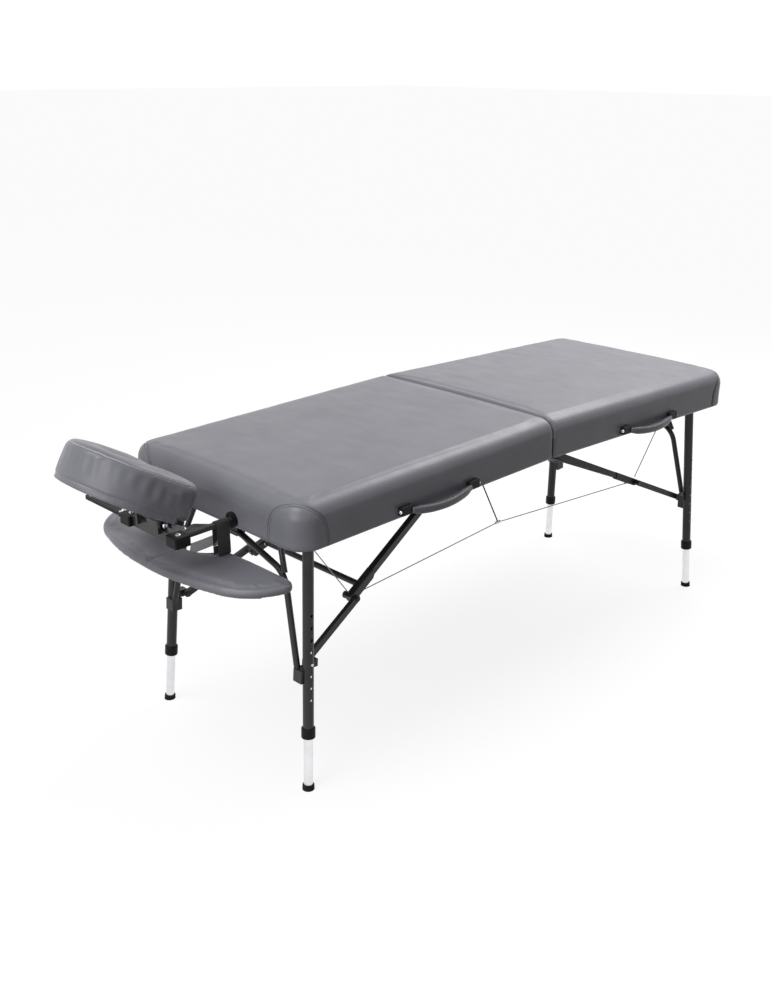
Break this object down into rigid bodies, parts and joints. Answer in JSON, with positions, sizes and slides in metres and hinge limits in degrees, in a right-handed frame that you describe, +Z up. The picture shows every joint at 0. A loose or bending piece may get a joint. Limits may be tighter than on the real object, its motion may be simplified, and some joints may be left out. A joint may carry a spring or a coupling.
{
  "type": "massage table",
  "caption": "Folding padded massage table on splayed telescopic legs with cable-stayed braces, a tilting horseshoe face cradle and a hanging arm shelf.",
  "frame": {"origin": "on the floor, under the middle of the whole object's box", "axes": "+X along the length towards the foot end, +Y towards the far long side that has no handles, +Z up"},
  "size_m": [2.2314, 0.737, 0.9318],
  "materials": {
    "vinyl": "smooth satin vinyl over foam",
    "side_vinyl": "smooth satin vinyl",
    "rail_wood": "plain sawn",
    "deck_wood": "plain plywood",
    "black_tube": "black powder coat",
    "bright_tube": "bright anodised",
    "black_plastic": "fine moulded texture",
    "rubber": "matt",
    "steel": "zinc plated",
    "cable": "stranded",
    "cord": "woven",
    "webbing": "woven"
  },
  "bodies": {
    "head_half": {"head_frame": "rail_wood", "head_deck": "deck_wood", "head_side_cover": "side_vinyl", "head_pad": "vinyl", "head_handle_mounts": "black_plastic", "head_handle_grip": "black_plastic", "head_hinge_leaves": "steel", "head_leg_bearings": "black_plastic", "head_brace_anchor": "black_tube", "cradle_sockets": "black_plastic"},
    "hinge": {"hinge_pins": "steel", "cable_hangers": "cord"},
    "foot_half": {"foot_frame": "rail_wood", "foot_deck": "deck_wood", "foot_side_cover": "side_vinyl", "foot_pad": "vinyl", "foot_handle_mounts": "black_plastic", "foot_handle_grip": "black_plastic", "foot_hinge_leaves": "steel", "foot_leg_bearings": "black_plastic", "foot_brace_anchor": "black_tube"},
    "head_legs": {"head_pivot_tube": "black_tube", "head_outer_legs": "black_tube", "head_leg_collars": "black_plastic", "head_arch": "black_tube", "head_frame_brackets": "black_tube"},
    "head_brace": {"head_brace_channels": "black_tube", "head_brace_crossbar": "black_tube", "head_cables": "cable"},
    "head_links": {"head_lower_links": "black_tube"},
    "head_near_leg": {"head_near_inner_leg": "bright_tube", "head_near_foot": "rubber"},
    "head_near_snap": {"head_near_button": "steel"},
    "head_far_leg": {"head_far_inner_leg": "bright_tube", "head_far_foot": "rubber"},
    "head_far_snap": {"head_far_button": "steel"},
    "foot_legs": {"foot_pivot_tube": "black_tube", "foot_outer_legs": "black_tube", "foot_leg_collars": "black_plastic", "foot_arch": "black_tube", "foot_frame_brackets": "black_tube"},
    "foot_brace": {"foot_brace_channels": "black_tube", "foot_brace_crossbar": "black_tube", "foot_cables": "cable"},
    "foot_links": {"foot_lower_links": "black_tube"},
    "foot_far_leg": {"foot_far_inner_leg": "bright_tube", "foot_far_foot": "rubber"},
    "foot_far_snap": {"foot_far_button": "steel"},
    "foot_near_leg": {"foot_near_inner_leg": "bright_tube", "foot_near_foot": "rubber"},
    "foot_near_snap": {"foot_near_button": "steel"},
    "cradle": {"cradle_prongs": "black_tube", "cradle_blocks": "black_plastic", "cradle_crossbar": "black_tube", "lever_post": "steel", "arm_shelf": "vinyl", "shelf_straps": "webbing"},
    "face_rest": {"cradle_platform": "black_plastic", "cradle_cushion": "vinyl"},
    "lever": {"cradle_lever": "black_plastic"}
  },
  "joints": [
    {"name": "fold_with_legs", "type": "hinge", "parent": "head_half", "child": "hinge", "pos_m": [0.18916, 0.0185, 0.687], "axis": [0, 1, 0], "range_deg": [0, 88.5], "deforming": ["head_cables", "foot_cables", "cable_hangers"]},
    {"name": "fold_close", "type": "hinge", "parent": "hinge", "child": "foot_half", "pos_m": [0.18916, 0.0185, 0.687], "axis": [0, 1, 0], "range_deg": [0, 88.4]},
    {"name": "head_leg_fold", "type": "hinge", "parent": "head_half", "child": "head_legs", "pos_m": [-0.6451, 0.0185, 0.68878], "axis": [0, -1, 0], "range_deg": [0, 95.01]},
    {"name": "head_brace_fold", "type": "hinge", "parent": "head_half", "child": "head_brace", "pos_m": [0.14886, 0.0185, 0.69957], "axis": [0, -1, 0], "range_deg": [-26.7, 0]},
    {"name": "head_link_fold", "type": "hinge", "parent": "head_legs", "child": "head_links", "pos_m": [-0.64277, 0.0185, 0.3354], "axis": [0, -1, 0], "range_deg": [0, 60.17]},
    {"name": "head_near_height", "type": "slide", "parent": "head_legs", "child": "head_near_leg", "axis": [-0.0641, -0.0523, -0.9966], "range_m": [-0.096, 0.096]},
    {"name": "head_near_press", "type": "slide", "parent": "head_near_leg", "child": "head_near_snap", "axis": [-0.0034, 0.9986, -0.0522], "range_m": [0, 0.005], "stiffness_N_per_m": 800, "springref_m": -0.002},
    {"name": "head_far_height", "type": "slide", "parent": "head_legs", "child": "head_far_leg", "axis": [-0.0641, 0.0523, -0.9966], "range_m": [-0.096, 0.096]},
    {"name": "head_far_press", "type": "slide", "parent": "head_far_leg", "child": "head_far_snap", "axis": [-0.0034, -0.9986, -0.0522], "range_m": [0, 0.005], "stiffness_N_per_m": 800, "springref_m": -0.002},
    {"name": "foot_leg_fold", "type": "hinge", "parent": "foot_half", "child": "foot_legs", "pos_m": [1.02343, 0.0185, 0.68878], "axis": [0, 1, 0], "range_deg": [0, 95.01]},
    {"name": "foot_brace_fold", "type": "hinge", "parent": "foot_half", "child": "foot_brace", "pos_m": [0.22947, 0.0185, 0.69957], "axis": [0, 1, 0], "range_deg": [-26.7, 0]},
    {"name": "foot_link_fold", "type": "hinge", "parent": "foot_legs", "child": "foot_links", "pos_m": [1.0211, 0.0185, 0.3354], "axis": [0, 1, 0], "range_deg": [0, 60.17]},
    {"name": "foot_far_height", "type": "slide", "parent": "foot_legs", "child": "foot_far_leg", "axis": [0.0641, 0.0523, -0.9966], "range_m": [-0.096, 0.096]},
    {"name": "foot_far_press", "type": "slide", "parent": "foot_far_leg", "child": "foot_far_snap", "axis": [0.0034, -0.9986, -0.0522], "range_m": [0, 0.005], "stiffness_N_per_m": 800, "springref_m": -0.002},
    {"name": "foot_near_height", "type": "slide", "parent": "foot_legs", "child": "foot_near_leg", "axis": [0.0641, -0.0523, -0.9966], "range_m": [-0.096, 0.096]},
    {"name": "foot_near_press", "type": "slide", "parent": "foot_near_leg", "child": "foot_near_snap", "axis": [0.0034, 0.9986, -0.0522], "range_m": [0, 0.005], "stiffness_N_per_m": 800, "springref_m": -0.002},
    {"name": "cradle_pull", "type": "slide", "parent": "head_half", "child": "cradle", "axis": [-0.9997, 0, -0.023], "range_m": [0, 0.055]},
    {"name": "face_rest_tilt", "type": "hinge", "parent": "cradle", "child": "face_rest", "pos_m": [-0.90359, 0.0185, 0.70733], "axis": [0, -1, 0], "range_deg": [-20, 31]},
    {"name": "lever_swing", "type": "hinge", "parent": "cradle", "child": "lever", "pos_m": [-0.89495, 0.1518, 0.67952], "axis": [-0.023, 0, 0.9997], "range_deg": [0, 70]}
  ],
  "couplings": [
    {"joint": "head_leg_fold", "follows": "fold_with_legs", "ratio": 1.0734},
    {"joint": "head_brace_fold", "follows": "fold_with_legs", "ratio": -0.30162},
    {"joint": "head_link_fold", "follows": "fold_with_legs", "ratio": 0.67983},
    {"joint": "foot_leg_fold", "follows": "fold_with_legs", "ratio": 1.0734},
    {"joint": "foot_brace_fold", "follows": "fold_with_legs", "ratio": -0.30162},
    {"joint": "foot_link_fold", "follows": "fold_with_legs", "ratio": 0.67983}
  ]
}
